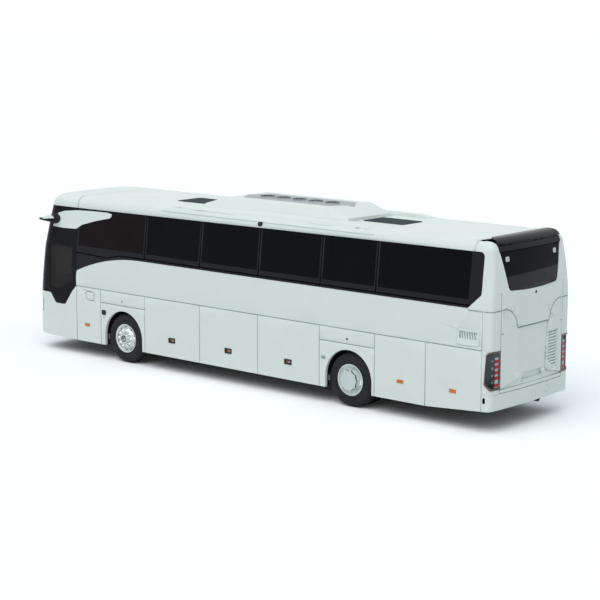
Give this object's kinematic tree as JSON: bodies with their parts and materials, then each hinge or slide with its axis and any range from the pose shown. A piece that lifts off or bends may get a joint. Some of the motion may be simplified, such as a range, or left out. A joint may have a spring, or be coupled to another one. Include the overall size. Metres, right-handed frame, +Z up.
{
  "type": "scale model coach",
  "caption": "Scale model of a white touring coach with dark flush glazing, roof air-conditioning hump, camera arms and free-rolling chromed wheels.",
  "frame": {"origin": "on the floor under the middle of the model's length and width", "axes": "+X forward, +Y to the coach's left, +Z up"},
  "size_m": [0.1402, 0.0366, 0.0421],
  "materials": {
    "white_paint": "satin",
    "black_gloss": "gloss",
    "tinted_glass": "gloss",
    "clear_lens": "gloss",
    "black_plastic": "matte",
    "grey_plastic": "matte",
    "dark_hatch": "matte",
    "chrome": "gloss",
    "steel": "satin",
    "tyre_rubber": "matte",
    "red_lens": "gloss",
    "orange_lens": "gloss",
    "seat_plastic": "matte",
    "lamp_grey": "gloss"
  },
  "bodies": {
    "coach": {"body_shell": "white_paint", "front_bumper": "white_paint", "front_mask": "black_gloss", "windscreen": "tinted_glass", "driver_window": "tinted_glass", "side_glass_left": "tinted_glass", "side_glass_right": "tinted_glass", "entrance_door": "black_gloss", "middle_door": "white_paint", "door_glass": "tinted_glass", "pillar_blades": "white_paint", "headlamps": "clear_lens", "front_grilles": "black_plastic", "wipers": "black_plastic", "rear_panel": "white_paint", "engine_lid": "white_paint", "rear_bumper": "white_paint", "rear_louvre": "white_paint", "rear_window": "tinted_glass", "rear_spoiler": "black_gloss", "tail_lamps": "lamp_grey", "tail_lamp_lenses": "red_lens", "tail_lamp_bezels": "chrome", "tail_lamp_strips": "clear_lens", "exhaust_pipe": "black_plastic", "roof_cowl": "white_paint", "roof_plate": "grey_plastic", "roof_fans": "black_plastic", "roof_hatch_front": "dark_hatch", "roof_hatch_rear": "dark_hatch", "roof_edge_knobs": "black_plastic", "camera_arm_left": "black_gloss", "camera_arm_right": "black_gloss", "side_markers": "orange_lens", "flap_handles": "black_plastic", "side_vents": "white_paint", "base_plate": "black_plastic", "axle_saddles": "black_plastic", "wheel_arch_liners": "black_plastic", "cabin_floor": "grey_plastic", "passenger_seats": "seat_plastic", "driver_seat": "seat_plastic", "dashboard": "black_plastic", "steering_wheel": "black_plastic"},
    "front_wheels": {"front_axle": "steel", "front_rims": "chrome", "front_tyre_left": "tyre_rubber", "front_tyre_right": "tyre_rubber"},
    "rear_wheels": {"rear_axle": "steel", "rear_rims": "chrome", "rear_tyre_left": "tyre_rubber", "rear_tyre_right": "tyre_rubber"}
  },
  "joints": [
    {"name": "front_wheels_roll", "type": "hinge", "parent": "coach", "child": "front_wheels", "pos_m": [0.03737, 0, 0.006], "axis": [0, 1, 0], "continuous": true},
    {"name": "rear_wheels_roll", "type": "hinge", "parent": "coach", "child": "rear_wheels", "pos_m": [-0.03263, 0, 0.006], "axis": [0, 1, 0], "continuous": true}
  ]
}
